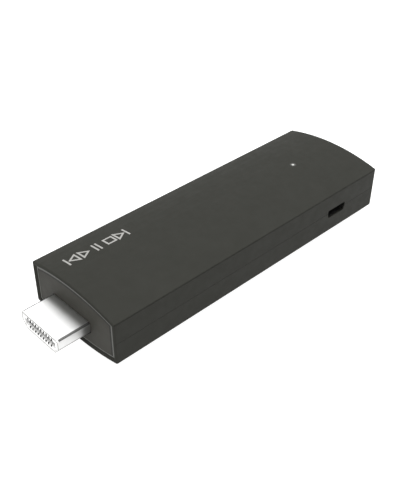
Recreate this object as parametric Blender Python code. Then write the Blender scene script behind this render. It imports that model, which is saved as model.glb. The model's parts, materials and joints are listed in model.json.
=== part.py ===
"""Streaming media player: an HDMI stick with a micro-USB power socket, as separate pieces.

Units are metres, +Z is up. +X runs along the body from the plug end to the closed rear end,
-Y is the side with the power socket. The origin is under the middle of the bounding box.
Lengths along the body are first worked out from the front rim (x = 0) and then shifted by FRONT_X.
"""

import math

import bmesh
import bpy
from mathutils import Vector

MM = 0.001

# Body: a box with straight sides, crowned above and below
BODY_L = 91.1 * MM
BODY_W = 29.7 * MM
SIDE_H = 11.3 * MM
CROWN = 1.92 * MM
CREASE_R = 0.15 * MM
FRONT_ROUND = 0.5 * MM
REAR_ROUND = 1.3 * MM
WALL = 1.4 * MM
INNER_R = 0.15 * MM
MOUTH_INSET = 1.08 * MM
FLARE_W, FLARE_DEPTH = 0.55 * MM, 0.4 * MM

ROUND_STEPS = 5
CREASE_STEPS = 3
CROWN_STEPS = 13
CIRCLE_STEPS = 24
SHARP_ANGLE = math.radians(35)
OVER = 1.0 * MM

# The crown's arc, measured from the body's mid height. Its middle facet is flat and the body rests on it
HALF_W = BODY_W / 2
ARC_R = (HALF_W**2 + CROWN**2) / (2 * CROWN)
ARC_Z = SIDE_H / 2 + CROWN - ARC_R
CROWN_ANGLE = 2 * math.asin((HALF_W - CREASE_R) / (ARC_R - CREASE_R))
MID_Z = ARC_Z + ARC_R * math.cos(CROWN_ANGLE / CROWN_STEPS / 2)
BODY_H = 2 * MID_Z

# Shadow groove along the top of both sides, just under the crease
SHADOW_Z = MID_Z + SIDE_H / 2 - 0.16 * MM
SHADOW_H, SHADOW_DEPTH = 0.14 * MM, 0.15 * MM

# Joint between the two covers
SEAM = 0.06 * MM
SEAM_TOP = MID_Z + SEAM / 2
SEAM_BOTTOM = MID_Z - SEAM / 2
STEP_DEPTH = 0.7 * MM
STEP_H = 1.3 * MM
LIP_GAP = 0.15 * MM
LIP_IN = 1.5 * MM
LIP_START = 3.2 * MM
LIP_ROOT = 0.8 * MM

# End panel and the groove that holds it
GROOVE_INSET = 0.55 * MM
GROOVE_X0, GROOVE_X1 = 1.15 * MM, 2.45 * MM
PANEL_X0 = 0.4 * MM
PANEL_GAP = 0.05 * MM
BORDER_W, BORDER_FALL = 0.38 * MM, 0.06 * MM
FIT = 0.3 * MM

# Plug: a standard type A shell
PLUG_OUT = 8.25 * MM
PLUG_IN = 7.5 * MM
PLUG_W, PLUG_H = 13.9 * MM, 4.45 * MM
PLUG_STRAIGHT = 2.55 * MM
PLUG_FOOT_W = 10.4 * MM
PLUG_WALL = 0.35 * MM
PLUG_R = 0.6 * MM
PLUG_Y, PLUG_Z = 1.25 * MM, 5.42 * MM
HAIR = 0.05 * MM
PANEL_PLUG_GAP = 0.15 * MM
INSULATOR_FRONT = 0.15 * MM
INSULATOR_REAR = 5.0 * MM
TONGUE_W, TONGUE_H, TONGUE_DEPTH = 11.4 * MM, 1.7 * MM, 7.0 * MM
TONGUE_Z = PLUG_Z + 0.05 * MM
PITCH = 1.0 * MM
UPPER_COUNT, LOWER_COUNT = 10, 9
CONTACT_W, CONTACT_T = 0.4 * MM, 0.2 * MM
CHANNEL_W, CHANNEL_IN = 0.55 * MM, 0.15 * MM
CHANNEL_UP, CHANNEL_DOWN = 0.82 * MM, 0.45 * MM
CONTACT_RISE = 1.0 * MM
CONTACT_FRONT = 2.6 * MM
TAIL_BEND, TAIL_FOOT, TAIL_END = 5.3 * MM, 5.9 * MM, 7.2 * MM

# Main board
BOARD_T = 1.0 * MM
BOARD_Z = 5.0 * MM
BOARD_TOP = BOARD_Z + BOARD_T
BOARD_X0, BOARD_X1 = 7.8 * MM, BODY_L - 2.0 * MM
BOARD_HALF_W = 12.8 * MM
BOARD_CORNER = 1.0 * MM
BOARD_NECK_X = 5.5 * MM
BOARD_NECK_HALF_W = 5.9 * MM
SOLDER = 0.05 * MM

# Power socket: a micro-B shell behind a slot in the side
PORT_X = 74.45 * MM
PORT_W, PORT_FOOT_W, PORT_H = 6.9 * MM, 6.1 * MM, 2.35 * MM
PORT_Z = 6.1 * MM
USB_W, USB_H, USB_FOOT_W = 7.4 * MM, 2.4 * MM, 5.6 * MM
USB_STRAIGHT = 1.35 * MM
USB_WALL = 0.25 * MM
USB_R = 0.3 * MM
USB_RECESS = 0.55 * MM
USB_DEPTH = 5.0 * MM
USB_POCKET_GAP = 0.2 * MM
USB_BLOCK = 0.8 * MM
USB_TONGUE_W, USB_TONGUE_T, USB_TONGUE_L = 3.8 * MM, 0.6 * MM, 3.3 * MM
USB_PITCH, USB_PINS = 0.65 * MM, 5
USB_PIN_W, USB_PIN_T = 0.3 * MM, 0.12 * MM

# Status light
LIGHT_X, LIGHT_Y = 73.3 * MM, 0.0
LIGHT_R = 0.4 * MM
LIGHT_GAP = 0.05 * MM
LIGHT_FLANGE_R, LIGHT_FLANGE_T = 1.5 * MM, 0.7 * MM
LED_SIZE = (1.6 * MM, 0.8 * MM, 0.6 * MM)

# Posts and screws
POST_R, POST_HOLE_R, POST_HOLE_DEPTH = 1.9 * MM, 0.8 * MM, 3.0 * MM
POST_FRONT_X, POST_REAR_X, POST_Y = 13.0 * MM, BODY_L - 5.9 * MM, 10.4 * MM
POST_XY = [(x, y) for x in (POST_FRONT_X, POST_REAR_X) for y in (POST_Y, -POST_Y)]
HANGER_XY = [(18.5 * MM, 0.0), (57.5 * MM, 0.0)]
SCREW_R, SCREW_HEAD_R, SCREW_HEAD_T, SCREW_LEN = 0.7 * MM, 1.5 * MM, 0.7 * MM, 3.2 * MM
SCREW_SLOT_W, SCREW_SLOT_D = 0.35 * MM, 0.3 * MM
SCREW_HOLE_R = 1.0 * MM

# Heat path above the processor
PLATE_Z, PLATE_T = 9.7 * MM, 1.0 * MM
PLATE_X0, PLATE_X1, PLATE_HALF_W = 16.0 * MM, 60.0 * MM, 11.0 * MM
CAN_X0, CAN_X1, CAN_HALF_W = 20.0 * MM, 50.0 * MM, 9.5 * MM
CAN_SHEET = 0.2 * MM
FRAME_H = 2.1 * MM
LID_GAP, LID_SKIRT, LID_TOP = 0.1 * MM, 1.3 * MM, 8.55 * MM

# Chips and small parts: centre x, centre y, length, width, height
SOC = (36.0 * MM, 0.0, 13.0 * MM, 13.0 * MM, 1.1 * MM)
MEMORY = (25.0 * MM, 2.0 * MM, 7.5 * MM, 11.0 * MM, 0.9 * MM)
POWER = (54.5 * MM, 6.0 * MM, 4.0 * MM, 4.0 * MM, 0.8 * MM)
FLASH = (40.0 * MM, 0.0, 11.5 * MM, 13.0 * MM, 1.0 * MM)
WIFI = (66.0 * MM, 4.5 * MM, 8.0 * MM, 10.0 * MM, 1.8 * MM)
CRYSTAL = (46.3 * MM, 5.5 * MM, 3.2 * MM, 2.5 * MM, 0.7 * MM)
INDUCTORS = [(54.5 * MM, -1.5 * MM), (54.5 * MM, -7.5 * MM)]
INDUCTOR_SIZE = (4.0 * MM, 4.0 * MM, 2.0 * MM)
CAPACITORS = [(60.5 * MM, -9.0 * MM), (63.5 * MM, -9.0 * MM), (66.5 * MM, -9.0 * MM)]
CAPACITOR_SIZE = (1.4 * MM, 2.4 * MM, 1.3 * MM)
PAD_SIZE = 13.0 * MM
ANTENNA_T, ANTENNA_H = 0.25 * MM, 4.2 * MM
ANTENNA_ARM, ANTENNA_LEG = 1.2 * MM, 0.9 * MM
SIDE_ANTENNA = (62.0 * MM, 76.0 * MM, 12.1 * MM)
REAR_ANTENNA = (-6.0 * MM, 6.0 * MM, BODY_L - 3.5 * MM)

FRONT_X = -(BODY_L - PLUG_OUT) / 2

# Each finish: colour, roughness, metallic
FINISHES = {
    "housing": ((0.055, 0.056, 0.049), 0.5, 0.0),
    "panel": ((0.075, 0.073, 0.066), 0.5, 0.0),
    "steel": ((0.82, 0.82, 0.80), 0.18, 1.0),
    "black_steel": ((0.07, 0.07, 0.07), 0.45, 1.0),
    "gold": ((0.83, 0.62, 0.28), 0.3, 1.0),
    "insulator": ((0.75, 0.74, 0.70), 0.5, 0.0),
    "dark_insulator": ((0.03, 0.03, 0.03), 0.5, 0.0),
    "light_pipe": ((0.9, 0.9, 0.88), 0.3, 0.0),
    "board": ((0.02, 0.11, 0.05), 0.45, 0.0),
    "chip": ((0.025, 0.025, 0.027), 0.5, 0.0),
    "ferrite": ((0.1, 0.1, 0.11), 0.6, 0.0),
    "ceramic": ((0.5, 0.38, 0.25), 0.5, 0.0),
    "thermal_pad": ((0.35, 0.42, 0.5), 0.8, 0.0),
    "aluminium": ((0.7, 0.71, 0.72), 0.35, 1.0),
    "tinplate": ((0.66, 0.66, 0.64), 0.32, 1.0),
    "screw_steel": ((0.35, 0.35, 0.36), 0.35, 1.0),
}


def clear_scene():
    for item in list(bpy.data.objects):
        bpy.data.objects.remove(item, do_unlink=True)


def make_material(node, finish):
    colour, roughness, metallic = FINISHES[finish]
    made = bpy.data.materials.new(f"{node}_{finish}")
    made.use_nodes = True
    shader = made.node_tree.nodes["Principled BSDF"]
    shader.inputs["Base Color"].default_value = (*colour, 1.0)
    shader.inputs["Roughness"].default_value = roughness
    shader.inputs["Metallic"].default_value = metallic
    return made


def to_object(name, bm, finish):
    bmesh.ops.recalc_face_normals(bm, faces=bm.faces[:])
    mesh = bpy.data.meshes.new(name)
    bm.to_mesh(mesh)
    bm.free()
    mesh.shade_smooth()
    mesh.set_sharp_from_angle(angle=SHARP_ANGLE)
    made = bpy.data.objects.new(name, mesh)
    made.data.materials.append(make_material(name, finish))
    bpy.context.scene.collection.objects.link(made)
    return made


def arc(centre, radius, start, end, steps):
    points = []
    for step in range(steps + 1):
        angle = start + (end - start) * step / steps
        points.append((centre[0] + radius * math.cos(angle), centre[1] + radius * math.sin(angle)))
    return points


def circle(centre, radius):
    return arc(centre, radius, 0.0, 2 * math.pi, CIRCLE_STEPS)[:-1]


def rectangle(u0, u1, v0, v1):
    return [(u0, v0), (u1, v0), (u1, v1), (u0, v1)]


def rounded(points, radius, steps=2):
    """Replace each corner of a convex outline, given counter-clockwise, by an arc."""
    outline = []
    count = len(points)
    for index in range(count):
        corner = Vector(points[index])
        back = (Vector(points[index - 1]) - corner).normalized()
        ahead = (Vector(points[(index + 1) % count]) - corner).normalized()
        half = back.angle(ahead) / 2
        centre = corner + (back + ahead).normalized() * radius / math.sin(half)
        first = corner + back * radius / math.tan(half) - centre
        turn = math.pi - 2 * half
        start = math.atan2(first.y, first.x)
        outline += arc(centre, radius, start, start + turn, steps)
    return outline


def section(inset):
    """Outline of the body in the (y, z) plane, moved inwards by inset."""
    half = HALF_W - inset
    crown_r = ARC_R - inset
    corner_r = max(CREASE_R - inset, INNER_R)
    corner_y = half - corner_r
    corner_z = ARC_Z + math.sqrt((crown_r - corner_r) ** 2 - corner_y**2)
    lean = math.atan2(corner_z - ARC_Z, corner_y)
    upper = arc((corner_y, corner_z), corner_r, 0.0, lean, CREASE_STEPS)
    upper += arc((0.0, ARC_Z), crown_r, lean, math.pi - lean, CROWN_STEPS)[1:-1]
    upper += arc((-corner_y, corner_z), corner_r, math.pi - lean, math.pi, CREASE_STEPS)
    lower = [(-y, -z) for y, z in upper]
    return [(y, z + MID_Z) for y, z in upper + lower]


def place(axis, along, u, v):
    """A point at (u, v) of a plane that faces the axis; along is the distance on that axis."""
    if axis == "X":
        return (along + FRONT_X, u, v)
    if axis == "Y":
        return (u + FRONT_X, along, v)
    return (u + FRONT_X, v, along)


def add_loft(bm, axis, rings):
    """A closed solid through rings, each given as a distance and an outline."""
    loops = []
    for along, outline in rings:
        loops.append([bm.verts.new(place(axis, along, u, v)) for u, v in outline])
    count = len(loops[0])
    for low, high in zip(loops[:-1], loops[1:]):
        for index in range(count):
            after = (index + 1) % count
            bm.faces.new((low[index], low[after], high[after], high[index]))
    bm.faces.new(loops[0])
    bm.faces.new(loops[-1])


def add_prism(bm, axis, start, end, outline):
    add_loft(bm, axis, [(start, outline), (end, outline)])


def add_tube(bm, axis, rings):
    """A tube through rings, each given as a distance, an outer and an inner outline."""
    walls = []
    for side in (1, 2):
        loops = []
        for ring in rings:
            loops.append([bm.verts.new(place(axis, ring[0], u, v)) for u, v in ring[side]])
        count = len(loops[0])
        for low, high in zip(loops[:-1], loops[1:]):
            for index in range(count):
                after = (index + 1) % count
                bm.faces.new((low[index], low[after], high[after], high[index]))
        walls.append(loops)
    outer, inner = walls
    for end in (0, -1):
        for index in range(len(outer[end])):
            after = (index + 1) % len(outer[end])
            corners = (outer[end][index], outer[end][after], inner[end][after], inner[end][index])
            bm.faces.new(corners)


def solid(name, finish, axis, start, end, outline):
    bm = bmesh.new()
    add_prism(bm, axis, start, end, outline)
    return to_object(name, bm, finish)


def helper(name, bm):
    """A cutter or an addition for a Boolean modifier, left out of the model itself."""
    bmesh.ops.recalc_face_normals(bm, faces=bm.faces[:])
    mesh = bpy.data.meshes.new(name)
    bm.to_mesh(mesh)
    bm.free()
    made = bpy.data.objects.new(name, mesh)
    bpy.context.scene.collection.objects.link(made)
    made.hide_render = True
    made.display_type = "WIRE"
    return made


def combine(target, operation, other):
    change = target.modifiers.new(other.name, "BOOLEAN")
    change.operation = operation
    change.solver = "EXACT"
    change.object = other


def prisms(name, axis, start, end, outlines):
    bm = bmesh.new()
    for outline in outlines:
        add_prism(bm, axis, start, end, outline)
    return helper(name, bm)


# ---------------------------------------------------------------- covers


def body_stations():
    stations = []
    for step in range(ROUND_STEPS + 1):
        angle = math.pi / 2 * step / ROUND_STEPS
        stations.append((FRONT_ROUND * (1 - math.cos(angle)), FRONT_ROUND * (1 - math.sin(angle))))
    for step in range(ROUND_STEPS + 1):
        angle = math.pi / 2 * step / ROUND_STEPS
        x = BODY_L - REAR_ROUND * (1 - math.sin(angle))
        stations.append((x, REAR_ROUND * (1 - math.cos(angle))))
    return [(x, section(inset)) for x, inset in stations]


def cavity_helper(name):
    """The hollow inside both covers, open at the front, with the groove for the end panel."""
    stations = [
        (-OVER, MOUTH_INSET - FLARE_W),
        (0.0, MOUTH_INSET - FLARE_W),
        (FLARE_DEPTH, MOUTH_INSET),
        (GROOVE_X0, MOUTH_INSET),
        (GROOVE_X0, GROOVE_INSET),
        (GROOVE_X1, GROOVE_INSET),
        (GROOVE_X1, WALL),
        (BODY_L - WALL, WALL),
    ]
    bm = bmesh.new()
    add_loft(bm, "X", [(x, section(inset)) for x, inset in stations])
    return helper(name, bm)


def port_cutters(cover_name):
    """The slot in the side and the wider pocket behind it for the socket's shell."""
    slot = port_outline()
    side = -HALF_W
    opening = prisms(cover_name + "_port_slot", "Y", side - OVER, side + WALL + OVER, [slot])
    grow = USB_POCKET_GAP
    pocket_outline = rectangle(
        PORT_X - USB_W / 2 - grow,
        PORT_X + USB_W / 2 + grow,
        BOARD_TOP + SOLDER - grow,
        BOARD_TOP + SOLDER + USB_H + grow,
    )
    start = side + USB_RECESS - grow
    pocket = prisms(cover_name + "_port_pocket", "Y", start, side + WALL + OVER, [pocket_outline])
    return opening, pocket


def port_outline():
    top = PORT_Z + PORT_H
    shoulder = PORT_Z + PORT_H / 2
    corners = [
        (PORT_X - PORT_FOOT_W / 2, PORT_Z),
        (PORT_X + PORT_FOOT_W / 2, PORT_Z),
        (PORT_X + PORT_W / 2, shoulder),
        (PORT_X + PORT_W / 2, top),
        (PORT_X - PORT_W / 2, top),
        (PORT_X - PORT_W / 2, shoulder),
    ]
    return rounded(corners, USB_R)


def cover(name):
    bm = bmesh.new()
    add_loft(bm, "X", body_stations())
    made = to_object(name, bm, "housing")
    combine(made, "DIFFERENCE", cavity_helper(name + "_hollow"))
    return made


def shadow_grooves():
    """Cutters for the fine grooves that set the crown off from both sides."""
    shelf = HALF_W - SHADOW_DEPTH
    outlines = [
        rectangle(shelf, HALF_W + OVER, SHADOW_Z - SHADOW_H, SHADOW_Z),
        rectangle(-HALF_W - OVER, -shelf, SHADOW_Z - SHADOW_H, SHADOW_Z),
    ]
    return prisms("top_cover_shadow_grooves", "X", -OVER, BODY_L + OVER, outlines)


def make_top_cover():
    made = cover("top_cover")
    far = BODY_L + OVER
    wide = HALF_W + OVER
    below = prisms("top_cover_trim", "Z", -OVER, SEAM_TOP, [rectangle(-OVER, far, -wide, wide)])
    combine(made, "DIFFERENCE", below)
    step_y = HALF_W - STEP_DEPTH
    step_x0 = LIP_START - LIP_GAP
    step = rectangle(step_x0, BODY_L - STEP_DEPTH, -step_y, step_y)
    step_top = MID_Z + STEP_H + LIP_GAP
    combine(made, "DIFFERENCE", prisms("top_cover_step", "Z", MID_Z - OVER, step_top, [step]))
    hanger_end = PLATE_Z + PLATE_T + HAIR
    hanger_root = BODY_H - WALL / 2
    posts = [circle(place_xy, POST_R) for place_xy in HANGER_XY]
    combine(made, "UNION", prisms("top_cover_hangers", "Z", hanger_end, hanger_root, posts))
    holes = [circle(place_xy, POST_HOLE_R) for place_xy in HANGER_XY]
    hole_end = hanger_end + POST_HOLE_DEPTH
    cut = prisms("top_cover_screw_holes", "Z", hanger_end - OVER, hole_end, holes)
    combine(made, "DIFFERENCE", cut)
    light = [circle((LIGHT_X, LIGHT_Y), LIGHT_R + LIGHT_GAP)]
    cut = prisms("top_cover_light_hole", "Z", MID_Z + STEP_H + OVER, BODY_H + OVER, light)
    combine(made, "DIFFERENCE", cut)
    for cutter in port_cutters("top_cover"):
        combine(made, "DIFFERENCE", cutter)
    combine(made, "DIFFERENCE", shadow_grooves())
    return made


def make_bottom_cover():
    made = cover("bottom_cover")
    far = BODY_L + OVER
    wide = HALF_W + OVER
    above = rectangle(-OVER, far, -wide, wide)
    cut = prisms("bottom_cover_trim", "Z", SEAM_BOTTOM, BODY_H + OVER, [above])
    combine(made, "DIFFERENCE", cut)
    outer = STEP_DEPTH + LIP_GAP
    lip = [
        (LIP_START, HALF_W - outer),
        (BODY_L - outer, HALF_W - outer),
        (BODY_L - outer, outer - HALF_W),
        (LIP_START, outer - HALF_W),
        (LIP_START, LIP_IN - HALF_W),
        (BODY_L - LIP_IN, LIP_IN - HALF_W),
        (BODY_L - LIP_IN, HALF_W - LIP_IN),
        (LIP_START, HALF_W - LIP_IN),
    ]
    lip_top = MID_Z + STEP_H
    combine(made, "UNION", prisms("bottom_cover_lip", "Z", SEAM_BOTTOM - LIP_ROOT, lip_top, [lip]))
    posts = [circle(place_xy, POST_R) for place_xy in POST_XY]
    root = MID_Z - ARC_Z - math.sqrt(ARC_R**2 - POST_Y**2) + WALL / 2
    post_top = BOARD_Z - HAIR
    combine(made, "UNION", prisms("bottom_cover_posts", "Z", root, post_top, posts))
    holes = [circle(place_xy, POST_HOLE_R) for place_xy in POST_XY]
    hole_end = post_top - POST_HOLE_DEPTH
    cut = prisms("bottom_cover_screw_holes", "Z", hole_end, post_top + OVER, holes)
    combine(made, "DIFFERENCE", cut)
    for cutter in port_cutters("bottom_cover"):
        combine(made, "DIFFERENCE", cutter)
    return made


def make_end_panel():
    """A plate with a sloping border in the mouth of the covers and a flange in their groove."""
    face = section(MOUTH_INSET + PANEL_GAP)
    field = section(MOUTH_INSET + PANEL_GAP + BORDER_W)
    flange = section(GROOVE_INSET + FIT)
    bm = bmesh.new()
    rings = [
        (PANEL_X0, field),
        (PANEL_X0 + BORDER_FALL, face),
        (GROOVE_X0 + FIT, face),
        (GROOVE_X0 + FIT, flange),
        (GROOVE_X1 - FIT, flange),
    ]
    add_loft(bm, "X", rings)
    made = to_object("end_panel", bm, "panel")
    hole = plug_outline(-PANEL_PLUG_GAP)
    combine(made, "DIFFERENCE", prisms("end_panel_hole", "X", -OVER, GROOVE_X1 + OVER, [hole]))
    return made


# ---------------------------------------------------------------- plug


def plug_outline(inset):
    """The plug's cross section in (y, z), moved inwards by inset."""
    half = PLUG_W / 2 - inset
    top = PLUG_H / 2 - inset
    slant = Vector(((PLUG_W - PLUG_FOOT_W) / 2, PLUG_H - PLUG_STRAIGHT))
    length = slant.length
    run, fall = slant.x / length, slant.y / length
    # The slanted sides move inwards along their own normal
    shoulder_z = PLUG_H / 2 - PLUG_STRAIGHT + inset * (1 - fall) / run
    foot_half = PLUG_FOOT_W / 2 - inset * (1 - run) / fall
    corners = [
        (-foot_half, -top),
        (foot_half, -top),
        (half, shoulder_z),
        (half, top),
        (-half, top),
        (-half, shoulder_z),
    ]
    corner_r = max(PLUG_R - inset, INNER_R / 2)
    return [(y + PLUG_Y, z + PLUG_Z) for y, z in rounded(corners, corner_r, 3)]


def make_plug_shell():
    bevel = PLUG_WALL / 3
    rings = [
        (-PLUG_OUT, plug_outline(bevel), plug_outline(PLUG_WALL)),
        (-PLUG_OUT + bevel, plug_outline(0.0), plug_outline(PLUG_WALL)),
        (PLUG_IN, plug_outline(0.0), plug_outline(PLUG_WALL)),
    ]
    bm = bmesh.new()
    add_tube(bm, "X", rings)
    return to_object("hdmi_plug_shell", bm, "steel")


def contact_places():
    """Every contact's name, y and side: +1 above the tongue space, -1 below."""
    places = []
    for index in range(UPPER_COUNT):
        y = PLUG_Y + (index - (UPPER_COUNT - 1) / 2) * PITCH
        places.append((f"hdmi_contact_upper_{index + 1:02d}", y, 1))
    for index in range(LOWER_COUNT):
        y = PLUG_Y + (index - (LOWER_COUNT - 1) / 2) * PITCH
        places.append((f"hdmi_contact_lower_{index + 1:02d}", y, -1))
    return places


def make_plug_insulator():
    start = -PLUG_OUT + INSULATOR_FRONT
    outline = plug_outline(PLUG_WALL + HAIR)
    made = solid("hdmi_insulator", "insulator", "X", start, INSULATOR_REAR, outline)
    half_w, half_h = TONGUE_W / 2, TONGUE_H / 2
    space = rectangle(PLUG_Y - half_w, PLUG_Y + half_w, TONGUE_Z - half_h, TONGUE_Z + half_h)
    cut = prisms("hdmi_insulator_space", "X", start - OVER, start + TONGUE_DEPTH, [space])
    combine(made, "DIFFERENCE", cut)
    channels = []
    for _, y, side in contact_places():
        reach = CHANNEL_UP if side > 0 else CHANNEL_DOWN
        near = TONGUE_Z + side * (half_h - CHANNEL_IN)
        far = TONGUE_Z + side * (half_h + reach)
        low, high = min(near, far), max(near, far)
        channels.append(rectangle(y - CHANNEL_W / 2, y + CHANNEL_W / 2, low, high))
    cut = prisms("hdmi_insulator_channels", "X", start - OVER, INSULATOR_REAR + OVER, channels)
    combine(made, "DIFFERENCE", cut)
    return made


def ribbon_outline(path, thickness):
    """Both sides of a bent strip seen from its edge, as one outline."""
    count = len(path)
    above, below = [], []
    for index in range(count):
        point = Vector(path[index])
        into = point - Vector(path[index - 1]) if index > 0 else None
        out = Vector(path[index + 1]) - point if index < count - 1 else None
        steps = [step.normalized() for step in (into, out) if step is not None]
        along = sum(steps, Vector((0.0, 0.0))).normalized()
        reach = thickness / 2 / max(along.dot(steps[0]), 0.5)
        side = Vector((-along.y, along.x)) * reach
        above.append(point + side)
        below.append(point - side)
    return [tuple(point) for point in above + below[::-1]]


def make_plug_contacts():
    front = -PLUG_OUT + CONTACT_FRONT
    for name, y, side in contact_places():
        level = TONGUE_Z + side * CONTACT_RISE
        surface = BOARD_TOP if side > 0 else BOARD_Z
        foot = surface + side * (SOLDER + CONTACT_T / 2)
        path = [(front, level), (TAIL_BEND, level), (TAIL_FOOT, foot), (TAIL_END, foot)]
        outline = ribbon_outline(path, CONTACT_T)
        solid(name, "gold", "Y", y - CONTACT_W / 2, y + CONTACT_W / 2, outline)


# ---------------------------------------------------------------- power socket


def usb_outline(inset):
    base = BOARD_TOP + SOLDER
    half = USB_W / 2 - inset
    foot = USB_FOOT_W / 2 - inset / 2
    low, high = base + inset, base + USB_H - inset
    shoulder = base + USB_H - USB_STRAIGHT + inset / 2
    corners = [(-foot, low), (foot, low), (half, shoulder), (half, high), (-half, high), (-half, shoulder)]
    outline = rounded(corners, max(USB_R - inset / 2, INNER_R / 3))
    return [(x + PORT_X, z) for x, z in outline]


def make_usb_shell():
    start = -HALF_W + USB_RECESS
    rings = [
        (start, usb_outline(0.0), usb_outline(USB_WALL)),
        (start + USB_DEPTH, usb_outline(0.0), usb_outline(USB_WALL)),
    ]
    bm = bmesh.new()
    add_tube(bm, "Y", rings)
    return to_object("usb_socket_shell", bm, "black_steel")


def usb_tongue_levels():
    top = BOARD_TOP + SOLDER + USB_H - USB_WALL - FIT
    return top - USB_TONGUE_T, top


def make_usb_insulator():
    rear = -HALF_W + USB_RECESS + USB_DEPTH
    block = usb_outline(USB_WALL + HAIR)
    made = solid("usb_socket_insulator", "dark_insulator", "Y", rear - USB_BLOCK, rear, block)
    low, high = usb_tongue_levels()
    tongue = rectangle(PORT_X - USB_TONGUE_W / 2, PORT_X + USB_TONGUE_W / 2, low, high)
    start = rear - USB_BLOCK - USB_TONGUE_L
    combine(made, "UNION", prisms("usb_tongue", "Y", start, rear - USB_BLOCK / 2, [tongue]))
    grooves = []
    for index in range(USB_PINS):
        x = PORT_X + (index - (USB_PINS - 1) / 2) * USB_PITCH
        half = USB_PIN_W / 2 + HAIR
        grooves.append(rectangle(x - half, x + half, low - USB_PIN_T, low + HAIR))
    combine(made, "DIFFERENCE", prisms("usb_pin_grooves", "Y", start - OVER, rear + OVER, grooves))
    return made


def make_usb_pins():
    low, _ = usb_tongue_levels()
    rear = -HALF_W + USB_RECESS + USB_DEPTH
    level = low - USB_PIN_T / 2 + HAIR / 2
    foot = BOARD_TOP + SOLDER + USB_PIN_T / 2
    start = rear - USB_BLOCK - USB_TONGUE_L + FIT
    path = [(start, level), (rear + FIT, level), (rear + 2 * FIT, foot), (rear + 5 * FIT, foot)]
    for index in range(USB_PINS):
        x = PORT_X + (index - (USB_PINS - 1) / 2) * USB_PITCH
        outline = ribbon_outline(path, USB_PIN_T)
        solid(f"usb_pin_{index + 1}", "gold", "X", x - USB_PIN_W / 2, x + USB_PIN_W / 2, outline)


# ---------------------------------------------------------------- board and what it carries


def make_board():
    half, corner, neck = BOARD_HALF_W, BOARD_CORNER, BOARD_NECK_HALF_W
    outline = [
        (BOARD_NECK_X, PLUG_Y - neck),
        (BOARD_X0, PLUG_Y - neck),
        (BOARD_X0, -half + corner),
        (BOARD_X0 + corner, -half),
        (BOARD_X1 - corner, -half),
        (BOARD_X1, -half + corner),
        (BOARD_X1, half - corner),
        (BOARD_X1 - corner, half),
        (BOARD_X0 + corner, half),
        (BOARD_X0, half - corner),
        (BOARD_X0, PLUG_Y + neck),
        (BOARD_NECK_X, PLUG_Y + neck),
    ]
    made = solid("main_board", "board", "Z", BOARD_Z, BOARD_TOP, outline)
    holes = [circle(place_xy, SCREW_HOLE_R) for place_xy in POST_XY]
    combine(made, "DIFFERENCE", prisms("main_board_holes", "Z", BOARD_Z - OVER, BOARD_TOP + OVER, holes))
    return made


def chip(name, finish, spec, corner, under=False):
    """A moulded or canned part on the board, or below it."""
    x, y, length, width, height = spec
    outline = rounded(rectangle(x - length / 2, x + length / 2, y - width / 2, y + width / 2), corner)
    low = BOARD_TOP + SOLDER
    if under:
        low = BOARD_Z - SOLDER - height
    return solid(name, finish, "Z", low, low + height, outline)


def make_chips():
    sharp, soft = 0.15 * MM, 0.5 * MM
    chip("soc_chip", "chip", SOC, sharp)
    chip("memory_chip", "chip", MEMORY, sharp)
    chip("power_chip", "chip", POWER, sharp)
    chip("flash_chip", "chip", FLASH, sharp, under=True)
    chip("wifi_module", "tinplate", WIFI, soft)
    chip("crystal", "tinplate", CRYSTAL, soft)
    for index, (x, y) in enumerate(INDUCTORS):
        chip(f"inductor_{index + 1}", "ferrite", (x, y, *INDUCTOR_SIZE), soft)
    for index, (x, y) in enumerate(CAPACITORS):
        chip(f"capacitor_{index + 1}", "ceramic", (x, y, *CAPACITOR_SIZE), sharp)
    chip("status_led", "insulator", (LIGHT_X, LIGHT_Y, *LED_SIZE), sharp)


def can_outline(grow):
    corner = 2 * CAN_SHEET + grow
    return rounded(rectangle(CAN_X0 - grow, CAN_X1 + grow, -CAN_HALF_W - grow, CAN_HALF_W + grow), corner)


def make_shield():
    base = BOARD_TOP + SOLDER
    bm = bmesh.new()
    add_tube(
        bm,
        "Z",
        [(z, can_outline(0.0), can_outline(-CAN_SHEET)) for z in (base, base + FRAME_H)],
    )
    to_object("shield_frame", bm, "tinplate")
    lid = solid(
        "shield_lid",
        "tinplate",
        "Z",
        LID_TOP - CAN_SHEET - LID_SKIRT,
        LID_TOP,
        can_outline(LID_GAP + CAN_SHEET),
    )
    inside = prisms("shield_lid_inside", "Z", BOARD_TOP, LID_TOP - CAN_SHEET, [can_outline(LID_GAP)])
    combine(lid, "DIFFERENCE", inside)


def make_heat_path():
    x, y = SOC[:2]
    half = PAD_SIZE / 2
    pad = rounded(rectangle(x - half, x + half, y - half, y + half), FIT)
    soc_top = BOARD_TOP + SOLDER + SOC[4]
    lid_low = LID_TOP - CAN_SHEET
    solid("inner_thermal_pad", "thermal_pad", "Z", soc_top + HAIR, lid_low - HAIR, pad)
    solid("outer_thermal_pad", "thermal_pad", "Z", LID_TOP + HAIR, PLATE_Z - HAIR, pad)
    outline = rounded(rectangle(PLATE_X0, PLATE_X1, -PLATE_HALF_W, PLATE_HALF_W), 2 * PLATE_T)
    plate = solid("heat_spreader", "aluminium", "Z", PLATE_Z, PLATE_Z + PLATE_T, outline)
    holes = [circle(place_xy, SCREW_HOLE_R) for place_xy in HANGER_XY]
    cut = prisms("heat_spreader_holes", "Z", PLATE_Z - OVER, PLATE_Z + PLATE_T + OVER, holes)
    combine(plate, "DIFFERENCE", cut)


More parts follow.
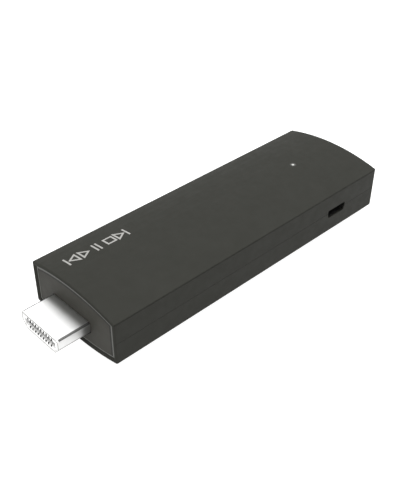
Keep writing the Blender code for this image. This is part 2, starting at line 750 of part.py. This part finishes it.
def antenna_outline(start, end):
    """An inverted F standing on its two legs."""
    base = BOARD_TOP + SOLDER
    top = base + ANTENNA_H
    second = start + 3 * ANTENNA_LEG
    return [
        (start, base),
        (start + ANTENNA_LEG, base),
        (start + ANTENNA_LEG, top - ANTENNA_ARM),
        (second, top - ANTENNA_ARM),
        (second, base),
        (second + ANTENNA_LEG, base),
        (second + ANTENNA_LEG, top - ANTENNA_ARM),
        (end, top - ANTENNA_ARM),
        (end, top),
        (start, top),
    ]


def make_antennas():
    start, end, y = SIDE_ANTENNA
    solid("side_antenna", "gold", "Y", y, y + ANTENNA_T, antenna_outline(start, end))
    start, end, x = REAR_ANTENNA
    solid("rear_antenna", "gold", "X", x, x + ANTENNA_T, antenna_outline(start, end))


def screw(name, centre, seat, direction):
    """A pan-head screw whose head rests at height seat; direction is where its shank points."""
    tip = seat + direction * SCREW_LEN
    top = seat - direction * SCREW_HEAD_T
    rings = [
        (tip, circle(centre, SCREW_R * 0.6)),
        (tip - direction * SCREW_R * 0.5, circle(centre, SCREW_R)),
        (seat, circle(centre, SCREW_R)),
        (seat, circle(centre, SCREW_HEAD_R)),
        (top + direction * SCREW_HEAD_T * 0.4, circle(centre, SCREW_HEAD_R)),
        (top, circle(centre, SCREW_HEAD_R * 0.75)),
    ]
    bm = bmesh.new()
    add_loft(bm, "Z", rings)
    made = to_object(name, bm, "screw_steel")
    x, y = centre
    long_half, short_half = SCREW_HEAD_R * 0.6, SCREW_SLOT_W / 2
    bars = [
        rectangle(x - long_half, x + long_half, y - short_half, y + short_half),
        rectangle(x - short_half, x + short_half, y - long_half, y + long_half),
    ]
    bottom = top + direction * SCREW_SLOT_D
    ends = sorted((bottom, top - direction * OVER))
    for index, bar in enumerate(bars):
        combine(made, "DIFFERENCE", prisms(f"{name}_slot_{index}", "Z", ends[0], ends[1], [bar]))


def make_screws():
    for index, centre in enumerate(POST_XY):
        screw(f"board_screw_{index + 1}", centre, BOARD_TOP + HAIR, -1)
    for index, centre in enumerate(HANGER_XY):
        screw(f"spreader_screw_{index + 1}", centre, PLATE_Z - HAIR, 1)


def make_light_pipe():
    low = BOARD_TOP + SOLDER + LED_SIZE[2] + LIGHT_GAP
    flange_top = BODY_H - WALL - FIT
    top = BODY_H - HAIR
    centre = (LIGHT_X, LIGHT_Y)
    stem, flange = circle(centre, LIGHT_R), circle(centre, LIGHT_FLANGE_R)
    rings = [
        (low, stem),
        (flange_top - LIGHT_FLANGE_T, stem),
        (flange_top - LIGHT_FLANGE_T, flange),
        (flange_top, flange),
        (flange_top, stem),
        (top - HAIR, stem),
        (top, circle(centre, LIGHT_R - HAIR)),
    ]
    bm = bmesh.new()
    add_loft(bm, "Z", rings)
    return to_object("status_light_pipe", bm, "light_pipe")


def build():
    clear_scene()
    make_top_cover()
    make_bottom_cover()
    make_end_panel()
    make_plug_shell()
    make_plug_insulator()
    make_plug_contacts()
    make_usb_shell()
    make_usb_insulator()
    make_usb_pins()
    make_board()
    make_chips()
    make_shield()
    make_heat_path()
    make_antennas()
    make_screws()
    make_light_pipe()


build()
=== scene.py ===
"""Looks of the streaming media player: studio, camera, finishes and the printed symbols."""

import math

import bmesh
import bpy
from mathutils import Matrix, Vector
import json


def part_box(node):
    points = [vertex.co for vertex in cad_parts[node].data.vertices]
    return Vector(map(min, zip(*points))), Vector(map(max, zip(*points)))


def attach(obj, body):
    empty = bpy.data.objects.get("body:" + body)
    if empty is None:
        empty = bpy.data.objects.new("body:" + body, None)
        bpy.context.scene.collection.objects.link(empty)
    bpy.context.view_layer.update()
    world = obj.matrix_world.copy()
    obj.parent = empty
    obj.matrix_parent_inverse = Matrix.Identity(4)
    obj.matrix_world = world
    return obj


MM = 0.001

# Camera
CAMERA_TARGET = (-0.005346, -0.003076, 0.0076)
CAMERA_AZIMUTH = math.radians(-43.877)
CAMERA_ELEVATION = math.radians(37.417)
CAMERA_ROLL = math.radians(0.366)
CAMERA_DISTANCE = 0.1930
CAMERA_LENS = 56.76
SENSOR_WIDTH = 36.0
CLIP_START = 1.0 * MM

# Studio: a large softbox overhead, a room with one dark corner, and a floor lit from below
SOFTBOX_PLACE = (0.1, -0.15, 1.0)
SOFTBOX_SIZE = (2.0, 2.0)
SOFTBOX_WATTS = 32.0
ROOM_LEVEL, DARK_LEVEL = 0.95, 0.1
DARK_CORNER = (0.55, -0.61, 0.57)
DARK_INNER, DARK_OUTER = math.radians(20), math.radians(50)
FLOOR_COLOUR, FLOOR_GLOW = 0.3, 0.9
FLOOR_HALF, FLOOR_DROP = 2.0, 0.2 * MM
FLOOR_ROUGHNESS, FLOOR_SPECULAR = 0.9, 0.2

# The middle range of a noise texture, which holds nearly all of its values
NOISE_LOW, NOISE_HIGH = 0.3, 0.7

# Covers and panel mirror very little
MOULDED_SPECULAR = 0.08

# Crown of the covers, as in the model
CROWN = 1.92 * MM

# Panel: its sloping border as in the model, which carries a painted highlight, and how far in from the
# covers' outside its field carries painted shade
BORDER_W, BORDER_FALL = 0.38 * MM, 0.06 * MM
BORDER_HIGHLIGHT_COLOUR = (0.112, 0.114, 0.107)
FIELD_SHADE_INSET = 2.06 * MM
FIELD_SHADE = (0.02, 0.0195, 0.0175)

# Plug: painted dark reflection near its root, painted dark reflections on its upper edges behind the
# mouth, and darker rims
ROOT_DARK_REFLECTION = (0.31, 0.31, 0.3)
ROOT_SHADE = (2.4 * MM, 0.7 * MM)
EDGE_DARK_REFLECTION = (0.1, 0.1, 0.098)
EDGE_START = 7.8 * MM
RIM_COLOUR = (0.3, 0.3, 0.29)

# Plug: how far its faces lean, as the size of a part of their normal and the spread allowed round it
EDGE_ACROSS = (0.5, 0.35)
RIM_FORWARD = (0.7, 0.2)
SHOULDER_UPWARD = (-0.35, 0.3)
MOSTLY, HALFWAY = 0.8, 0.5

# Plug's insulator: painted shade in the contact channels and deep in the mouth, as depths behind its face,
# and the heights of the mouth's floor above its underside and of the mouth's roof below its top
SHADE_COLOUR = (0.02, 0.02, 0.02)
DEEP_START, DEEP_END = 0.65 * MM, 0.8 * MM
NOTCH_END = 0.3 * MM
INSULATOR_FLOOR, INSULATOR_ROOF = 0.97 * MM, 0.95 * MM

# Painted glow of the status light on the housing plastic round it
HALO_R, HALO_LEVEL = 1.05 * MM, 0.22

# Printed symbols: distances behind the front rim and from the middle line
PRINT_START = 4.7 * MM
PRINT_PITCH = 3.55 * MM
PRINT_MIDDLE_Y = 7.5 * MM
PRINT_HALF_H = 1.6 * MM
PRINT_STROKE = 0.45 * MM
PRINT_RISE = 0.03 * MM
PRINT_SINK = 0.05 * MM
PRINT_STEPS = 6
MITRE_LIMIT = 0.35
TRIANGLE_LENGTH, SYMBOL_GAP, PAUSE_GAP = 2.1 * MM, 0.8 * MM, 1.04 * MM
SQUARE_PART = 0.72
PRINT_DARK, PRINT_LIGHT, PRINT_ROUGH = (0.215, 0.212, 0.2), (0.24, 0.236, 0.225), 0.5

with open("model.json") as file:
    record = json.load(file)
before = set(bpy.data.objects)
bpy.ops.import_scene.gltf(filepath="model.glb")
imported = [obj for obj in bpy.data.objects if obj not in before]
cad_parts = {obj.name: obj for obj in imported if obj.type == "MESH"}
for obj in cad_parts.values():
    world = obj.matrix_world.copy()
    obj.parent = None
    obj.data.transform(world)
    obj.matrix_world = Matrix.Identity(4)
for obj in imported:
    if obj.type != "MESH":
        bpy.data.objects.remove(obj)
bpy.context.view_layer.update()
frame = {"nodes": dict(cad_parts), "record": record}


# ---------------------------------------------------------------- studio


def make_camera():
    data = bpy.data.cameras.new("camera")
    data.lens = CAMERA_LENS
    data.sensor_width = SENSOR_WIDTH
    data.clip_start = CLIP_START
    camera = bpy.data.objects.new("camera", data)
    bpy.context.scene.collection.objects.link(camera)
    level = math.cos(CAMERA_ELEVATION)
    back = Vector((
        math.sin(CAMERA_AZIMUTH) * level,
        -math.cos(CAMERA_AZIMUTH) * level,
        math.sin(CAMERA_ELEVATION),
    ))
    turn = back.to_track_quat("Z", "Y").to_matrix() @ Matrix.Rotation(CAMERA_ROLL, 3, "Z")
    camera.matrix_world = Matrix.LocRotScale(
        Vector(CAMERA_TARGET) + back * CAMERA_DISTANCE, turn.to_quaternion(), None
    )
    bpy.context.scene.camera = camera


def make_light(name, place, target, size, watts):
    data = bpy.data.lights.new(name, "AREA")
    data.shape = "RECTANGLE"
    data.size, data.size_y = size
    data.energy = watts
    light = bpy.data.objects.new(name, data)
    bpy.context.scene.collection.objects.link(light)
    light.location = place
    aim = Vector(place) - Vector(target)
    light.rotation_euler = aim.to_track_quat("Z", "Y").to_euler()


def make_world():
    """An even white room, dark in the corner that the object's side and top mirror."""
    world = bpy.data.worlds.new("studio")
    world.use_nodes = True
    nodes, links = world.node_tree.nodes, world.node_tree.links
    facing = nodes.new("ShaderNodeVectorMath")
    facing.operation = "DOT_PRODUCT"
    facing.inputs[1].default_value = Vector(DARK_CORNER).normalized()
    links.new(nodes.new("ShaderNodeTexCoord").outputs["Generated"], facing.inputs[0])
    level = nodes.new("ShaderNodeMapRange")
    level.interpolation_type = "SMOOTHSTEP"
    level.inputs["From Min"].default_value = math.cos(DARK_OUTER)
    level.inputs["From Max"].default_value = math.cos(DARK_INNER)
    level.inputs["To Min"].default_value = ROOM_LEVEL
    level.inputs["To Max"].default_value = DARK_LEVEL
    links.new(facing.outputs["Value"], level.inputs["Value"])
    background = nodes["Background"]
    background.inputs["Color"].default_value = (1.0, 1.0, 1.0, 1.0)
    links.new(level.outputs["Result"], background.inputs["Strength"])
    bpy.context.scene.world = world


def make_studio():
    make_world()
    make_light("softbox", SOFTBOX_PLACE, (0.0, 0.0, 0.0), SOFTBOX_SIZE, SOFTBOX_WATTS)
    mesh = bpy.data.meshes.new("floor")
    bm = bmesh.new()
    bmesh.ops.create_grid(bm, x_segments=1, y_segments=1, size=FLOOR_HALF)
    bm.to_mesh(mesh)
    bm.free()
    floor = bpy.data.objects.new("floor", mesh)
    bpy.context.scene.collection.objects.link(floor)
    floor.location.z = -FLOOR_DROP
    paper = bpy.data.materials.new("paper")
    paper.use_nodes = True
    shader = paper.node_tree.nodes["Principled BSDF"]
    shader.inputs["Base Color"].default_value = (FLOOR_COLOUR, FLOOR_COLOUR, FLOOR_COLOUR, 1.0)
    shader.inputs["Emission Color"].default_value = (1.0, 1.0, 1.0, 1.0)
    shader.inputs["Emission Strength"].default_value = FLOOR_GLOW
    shader.inputs["Roughness"].default_value = FLOOR_ROUGHNESS
    shader.inputs["Specular IOR Level"].default_value = FLOOR_SPECULAR
    mesh.materials.append(paper)


# ---------------------------------------------------------------- finishes


class Finish:
    """A material under construction, with short ways to add the nodes it needs."""

    def __init__(self, name):
        self.material = bpy.data.materials.new(name)
        self.material.use_nodes = True
        self.nodes = self.material.node_tree.nodes
        self.links = self.material.node_tree.links
        self.shader = self.nodes["Principled BSDF"]
        self.place = self.nodes.new("ShaderNodeTexCoord").outputs["Object"]

    def set(self, **values):
        for key, value in values.items():
            self.shader.inputs[key.replace("_", " ")].default_value = value
        return self

    def stretched(self, scale):
        mapping = self.nodes.new("ShaderNodeMapping")
        mapping.inputs["Scale"].default_value = scale
        self.links.new(self.place, mapping.inputs["Vector"])
        return mapping.outputs["Vector"]

    def noise(self, size, detail=2.0, vector=None):
        """Noise whose grains are about size metres across."""
        node = self.nodes.new("ShaderNodeTexNoise")
        node.inputs["Scale"].default_value = 1.0 / size
        node.inputs["Detail"].default_value = detail
        self.links.new(vector or self.place, node.inputs["Vector"])
        return node.outputs["Fac"]

    def spread(self, value, low, high):
        """Stretches the middle of a noise to the range from low to high."""
        node = self.nodes.new("ShaderNodeMapRange")
        node.inputs["From Min"].default_value = NOISE_LOW
        node.inputs["From Max"].default_value = NOISE_HIGH
        node.inputs["To Min"].default_value = low
        node.inputs["To Max"].default_value = high
        self.links.new(value, node.inputs["Value"])
        return node.outputs["Result"]

    def geometry(self, output):
        return self.nodes.new("ShaderNodeNewGeometry").outputs[output]

    def vector_maths(self, operation, vector, other):
        node = self.nodes.new("ShaderNodeVectorMath")
        node.operation = operation
        node.inputs[1].default_value = other
        self.links.new(vector, node.inputs[0])
        return node.outputs["Value"]

    def along(self, vector, direction):
        return self.vector_maths("DOT_PRODUCT", vector, direction)

    def maths(self, operation, *values):
        node = self.nodes.new("ShaderNodeMath")
        node.operation = operation
        for socket, value in zip(node.inputs, values):
            if isinstance(value, float):
                socket.default_value = value
            else:
                self.links.new(value, socket)
        return node.outputs["Value"]

    def both(self, first, second):
        return self.maths("MULTIPLY", first, second)

    def fade(self, value, start, end, low, high):
        """Goes smoothly from low to high while the value goes from start to end."""
        node = self.nodes.new("ShaderNodeMapRange")
        node.interpolation_type = "SMOOTHSTEP"
        node.inputs["From Min"].default_value = start
        node.inputs["From Max"].default_value = end
        node.inputs["To Min"].default_value = low
        node.inputs["To Max"].default_value = high
        self.links.new(value, node.inputs["Value"])
        return node.outputs["Result"]

    def tint(self, mask, colour):
        """Lays another colour over the base colour where the mask is 1."""
        base = self.shader.inputs["Base Color"]
        node = self.nodes.new("ShaderNodeMix")
        node.data_type = "RGBA"
        self.links.new(mask, node.inputs["Factor"])
        self.links.new(base.links[0].from_socket, node.inputs["A"])
        node.inputs["B"].default_value = (*colour, 1.0)
        self.links.new(node.outputs["Result"], base)

    def colours(self, value, first, second):
        node = self.nodes.new("ShaderNodeMix")
        node.data_type = "RGBA"
        node.inputs["A"].default_value = (*first, 1.0)
        node.inputs["B"].default_value = (*second, 1.0)
        self.links.new(value, node.inputs["Factor"])
        self.links.new(node.outputs["Result"], self.shader.inputs["Base Color"])
        return self

    def roughness(self, value, low, high):
        self.links.new(self.spread(value, low, high), self.shader.inputs["Roughness"])
        return self

    def bump(self, value, depth, strength=1.0):
        node = self.nodes.new("ShaderNodeBump")
        node.inputs["Distance"].default_value = depth
        node.inputs["Strength"].default_value = strength
        self.links.new(value, node.inputs["Height"])
        self.links.new(node.outputs["Normal"], self.shader.inputs["Normal"])
        return self


def moulded(name, dark, light, rough, grain=0.18 * MM, depth=0.006 * MM):
    """Moulded plastic: a fine eroded grain, cloudy colour and slightly uneven gloss."""
    made = Finish(name)
    cloud = made.noise(6.0 * MM, 3.0)
    made.colours(made.spread(cloud, 0.0, 1.0), dark, light)
    made.roughness(made.noise(2.5 * MM, 3.0), rough - 0.05, rough + 0.05)
    return made.bump(made.noise(grain, 2.0), depth)


def plated(name, colour, shade, rough, along=(1.0, 1.0, 1.0), depth=0.002 * MM):
    """Pressed sheet: faint drawing lines along one direction, and cloudy gloss."""
    made = Finish(name).set(Metallic=1.0)
    lines = made.noise(0.25 * MM, 2.0, made.stretched(along))
    made.colours(made.spread(made.noise(3.0 * MM), 0.0, 1.0), colour, shade)
    made.roughness(lines, rough - 0.04, rough + 0.05)
    return made.bump(lines, depth, 0.4)


def board_finish(name):
    """Green solder mask with faint copper tracks under it."""
    made = Finish(name).set(Coat_Weight=0.3)
    tracks = made.nodes.new("ShaderNodeTexBrick")
    tracks.inputs["Scale"].default_value = 1.0 / (3.0 * MM)
    tracks.inputs["Mortar Size"].default_value = 0.03
    made.links.new(made.place, tracks.inputs["Vector"])
    made.colours(tracks.outputs["Fac"], (0.012, 0.085, 0.035), (0.03, 0.16, 0.07))
    made.roughness(made.noise(1.0 * MM), 0.3, 0.45)
    return made.bump(tracks.outputs["Fac"], 0.01 * MM)


def make_finishes():
    """One finish for each material slot of the record."""
    finishes = {
        "housing": moulded("housing", (0.0188, 0.0190, 0.0158), (0.0203, 0.0205, 0.0172), 0.55),
        "end_panel": moulded("end_panel", (0.0335, 0.0324, 0.0274), (0.0375, 0.0363, 0.0311), 0.55),
        "plug_steel": plated(
            "plug_steel", (0.725, 0.725, 0.72), (0.7, 0.7, 0.695), 0.4, (0.05, 1.0, 1.0), 0.0004 * MM
        ),
        "plug_insulator": moulded("plug_insulator", (0.84, 0.84, 0.83), (0.87, 0.87, 0.86), 0.45),
        "gold_contact": plated("gold_contact", (0.85, 0.66, 0.33), (0.78, 0.58, 0.27), 0.25),
        # Painted shade: the socket's steel is made near black, standing for the dark inside of the port
        "socket_steel": plated("socket_steel", (0.07, 0.07, 0.068), (0.05, 0.05, 0.049), 0.45),
        "socket_insulator": moulded("socket_insulator", (0.012, 0.012, 0.012), (0.016, 0.016, 0.016), 0.6),
        "light_pipe": moulded("light_pipe", (0.38, 0.38, 0.37), (0.41, 0.41, 0.4), 0.3),
        "led_body": moulded("led_body", (0.78, 0.76, 0.7), (0.86, 0.84, 0.78), 0.35),
        "circuit_board": board_finish("circuit_board"),
        "chip_mould": moulded("chip_mould", (0.02, 0.02, 0.022), (0.03, 0.03, 0.032), 0.55),
        "tinplate": plated("tinplate", (0.66, 0.66, 0.64), (0.58, 0.58, 0.56), 0.32, (0.1, 1.0, 1.0)),
        "ferrite": moulded("ferrite", (0.08, 0.08, 0.09), (0.12, 0.12, 0.13), 0.65),
        "ceramic_chip": moulded("ceramic_chip", (0.45, 0.34, 0.22), (0.54, 0.42, 0.28), 0.5),
        "thermal_pad": moulded("thermal_pad", (0.31, 0.38, 0.46), (0.38, 0.45, 0.53), 0.85),
        "heat_spreader": plated(
            "heat_spreader", (0.72, 0.73, 0.74), (0.66, 0.67, 0.68), 0.35, (0.05, 1.0, 1.0)
        ),
        "antenna_metal": plated("antenna_metal", (0.82, 0.64, 0.34), (0.76, 0.57, 0.28), 0.3),
        "screw_steel": plated("screw_steel", (0.37, 0.37, 0.38), (0.3, 0.3, 0.31), 0.35),
    }
    for slot in ("housing", "end_panel"):
        finishes[slot].set(Specular_IOR_Level=MOULDED_SPECULAR)
    paint_panel_highlight_and_shade(finishes["end_panel"])
    shade_plug(finishes["plug_steel"])
    shade_insulator(finishes["plug_insulator"])
    paint_glow_round_light(finishes["housing"])
    return {slot: made.material for slot, made in finishes.items()}


def crown_circle():
    """Radius of the top surface's arc across the body, and the height of its centre."""
    low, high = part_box("top_cover")
    half = (high[1] - low[1]) / 2
    radius = (half**2 + CROWN**2) / (2 * CROWN)
    return radius, high[2] - radius


def paint_panel_highlight_and_shade(made):
    """The panel's border slopes a little outwards and carries a painted highlight; its field carries
    painted shade along two edges, the top and the -Y side.
    """
    facing = made.along(made.geometry("True Normal"), (-1.0, 0.0, 0.0))
    slope = math.cos(math.atan(BORDER_FALL / BORDER_W))
    # Painted highlight: the sloping border is tinted lighter than the panel
    made.tint(made.maths("COMPARE", facing, slope, (1.0 - slope) / 2), BORDER_HIGHLIGHT_COLOUR)
    radius, centre_z = crown_circle()
    section = made.nodes.new("ShaderNodeVectorMath")
    section.operation = "MULTIPLY"
    section.inputs[1].default_value = (0.0, 1.0, 1.0)
    made.links.new(made.place, section.inputs[0])
    reach = made.vector_maths("DISTANCE", section.outputs["Vector"], (0.0, 0.0, centre_z))
    upper = made.maths("GREATER_THAN", reach, radius - FIELD_SHADE_INSET)
    across = made.along(made.place, (0.0, 1.0, 0.0))
    right = made.maths("LESS_THAN", across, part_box("top_cover")[0][1] + FIELD_SHADE_INSET)
    flat = made.maths("GREATER_THAN", facing, (1.0 + slope) / 2)
    # Painted shade: the field is tinted dark along its top and -Y edges
    made.tint(made.both(made.maths("MAXIMUM", upper, right), flat), FIELD_SHADE)


def shade_plug(made):
    """The plug carries painted dark reflections: it darkens towards its root, where the panel would be
    mirrored, and along its upper edges; its other rims are darker.
    """
    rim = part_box("top_cover")[0][0]
    depth = made.along(made.place, (1.0, 0.0, 0.0))
    # Painted dark reflection: the plug's colour fades darker towards the panel
    made.tint(made.fade(depth, rim - ROOT_SHADE[0], rim - ROOT_SHADE[1], 0.0, 1.0), ROOT_DARK_REFLECTION)
    normal = made.geometry("True Normal")
    forward = made.maths("ABSOLUTE", made.along(normal, (1.0, 0.0, 0.0)))
    across = made.maths("ABSOLUTE", made.along(normal, (0.0, 1.0, 0.0)))
    upward = made.along(normal, (0.0, 0.0, 1.0))
    rounded = made.maths("COMPARE", across, *EDGE_ACROSS)
    above = made.maths("GREATER_THAN", upward, HALFWAY)
    behind = made.maths("GREATER_THAN", depth, rim - EDGE_START)
    # Painted dark reflection along the plug's upper rounded edges behind the mouth
    made.tint(made.both(made.both(rounded, above), behind), EDGE_DARK_REFLECTION)
    # The rims leaning forward and the lower side shoulders are tinted darker
    made.tint(made.maths("COMPARE", forward, *RIM_FORWARD), RIM_COLOUR)
    leaning = made.maths("COMPARE", upward, *SHOULDER_UPWARD)
    sideways = made.maths("GREATER_THAN", across, MOSTLY)
    made.tint(made.both(leaning, sideways), RIM_COLOUR)


def shade_insulator(made):
    """Painted shade: the mouth is dark deep inside and in the notches of its contact channels."""
    low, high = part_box("hdmi_insulator")
    depth = made.along(made.place, (1.0, 0.0, 0.0))
    height = made.along(made.place, (0.0, 0.0, 1.0))
    inside = made.fade(depth, low[0] + DEEP_START, low[0] + DEEP_END, 0.0, 1.0)
    over_floor = made.maths("GREATER_THAN", height, low[2] + INSULATOR_FLOOR)
    # Painted shade deep in the mouth, above its floor
    made.tint(made.both(inside, over_floor), SHADE_COLOUR)
    forward = made.maths("ABSOLUTE", made.along(made.geometry("True Normal"), (1.0, 0.0, 0.0)))
    lengthwise = made.maths("LESS_THAN", forward, HALFWAY)
    front = made.maths("LESS_THAN", depth, low[0] + NOTCH_END)
    below = made.maths("LESS_THAN", height, low[2] + INSULATOR_FLOOR)
    above = made.maths("GREATER_THAN", height, high[2] - INSULATOR_ROOF)
    # Painted shade in the notches of the contact channels
    made.tint(made.both(made.both(lengthwise, front), below), SHADE_COLOUR)
    made.tint(made.both(lengthwise, above), SHADE_COLOUR)


def paint_glow_round_light(made):
    """Painted glow: the housing plastic round the status light emits light, fading outwards."""
    low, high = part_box("status_light_pipe")
    centre = ((low[0] + high[0]) / 2, (low[1] + high[1]) / 2, high[2])
    distance = made.vector_maths("DISTANCE", made.place, centre)
    made.set(Emission_Color=(1.0, 1.0, 0.97, 1.0))
    glow = made.fade(distance, 0.0, HALO_R, HALO_LEVEL, 0.0)
    made.links.new(glow, made.shader.inputs["Emission Strength"])


def dress_nodes(finishes):
    for entry in frame["record"]["subparts"]:
        node = frame["nodes"][entry["node"]]
        node.data.materials.clear()
        node.data.materials.append(finishes[entry["material_slot"]])


# ---------------------------------------------------------------- printed symbols


def crown_height(y):
    """Height of the top surface at a distance y from the middle line."""
    radius, centre_z = crown_circle()
    return centre_z + math.sqrt(radius**2 - y**2)


def stroke_sides(path, closed):
    """The left and right edge of a stroke along a path, mitred at its corners."""
    count = len(path)
    left, right = [], []
    for index, point in enumerate(path):
        into = point - path[index - 1] if closed or index > 0 else None
        out = path[(index + 1) % count] - point if closed or index < count - 1 else None
        steps = [step.normalized() for step in (into, out) if step is not None]
        along = sum(steps, Vector((0.0, 0.0))).normalized()
        reach = PRINT_STROKE / 2 / max(along.dot(steps[0]), MITRE_LIMIT)
        side = Vector((-along.y, along.x)) * reach
        left.append(point + side)
        right.append(point - side)
    return left, right


def refine(points, closed):
    """Adds points between the corners, so that the print follows the crown."""
    ends = points[1:] + points[:1] if closed else points[1:]
    fine = []
    for start, end in zip(points, ends):
        fine += [start.lerp(end, step / PRINT_STEPS) for step in range(PRINT_STEPS)]
    return fine if closed else fine + [points[-1]]


def add_stroke(bm, corners, closed):
    path = [Vector(corner) for corner in corners]
    left, right = stroke_sides(path, closed)
    loops = []
    rails = ((left, PRINT_RISE), (right, PRINT_RISE), (right, -PRINT_SINK), (left, -PRINT_SINK))
    for points, lift in rails:
        fine = refine(points, closed)
        loops.append([bm.verts.new((p.x, p.y, crown_height(p.y) + lift)) for p in fine])
    count = len(loops[0])
    for side, loop in enumerate(loops):
        following = loops[(side + 1) % len(loops)]
        for index in range(count if closed else count - 1):
            after = (index + 1) % count
            bm.faces.new((loop[index], loop[after], following[after], following[index]))
    if not closed:
        bm.faces.new([loop[0] for loop in loops])
        bm.faces.new([loop[-1] for loop in loops])


def triangle(start, length, way):
    """A triangle that points to +X (way 1) or -X (way -1), as corners of a closed stroke."""
    base, tip = (start, start + length) if way > 0 else (start + length, start)
    half = PRINT_HALF_H - PRINT_STROKE / 2
    return [(base, PRINT_MIDDLE_Y + half), (tip, PRINT_MIDDLE_Y), (base, PRINT_MIDDLE_Y - half)]


def bar(x):
    return [(x, PRINT_MIDDLE_Y + PRINT_HALF_H), (x, PRINT_MIDDLE_Y - PRINT_HALF_H)]


def square(start):
    half = PRINT_HALF_H * SQUARE_PART
    low, high = PRINT_MIDDLE_Y - half, PRINT_MIDDLE_Y + half
    return [(start, low), (start + 2 * half, low), (start + 2 * half, high), (start, high)]


def print_symbols(material):
    """Generic transport symbols where the device carries its printing."""
    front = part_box("top_cover")[0][0] + PRINT_START
    first, second, third, fourth, fifth = (front + PRINT_PITCH * index for index in range(5))
    length, gap = TRIANGLE_LENGTH, SYMBOL_GAP
    symbols = {
        "symbol_previous": [(bar(first), False), (triangle(first + gap, length, -1), True)],
        "symbol_play": [(triangle(second + gap / 2, length, 1), True)],
        "symbol_pause": [(bar(third + gap + step * PAUSE_GAP), False) for step in (0, 1)],
        "symbol_stop": [(square(fourth + gap / 2), True)],
        "symbol_next": [(triangle(fifth, length, 1), True), (bar(fifth + length + gap), False)],
    }
    for name, strokes in symbols.items():
        bm = bmesh.new()
        for corners, closed in strokes:
            add_stroke(bm, corners, closed)
        bmesh.ops.recalc_face_normals(bm, faces=bm.faces[:])
        mesh = bpy.data.meshes.new(name)
        bm.to_mesh(mesh)
        bm.free()
        mesh.materials.append(material)
        piece = bpy.data.objects.new(name, mesh)
        bpy.context.scene.collection.objects.link(piece)
        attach(piece, "root")


make_camera()
make_studio()
dress_nodes(make_finishes())
print_symbols(moulded("print_ink", PRINT_DARK, PRINT_LIGHT, PRINT_ROUGH).material)

bpy.context.scene.view_settings.view_transform = "Standard"
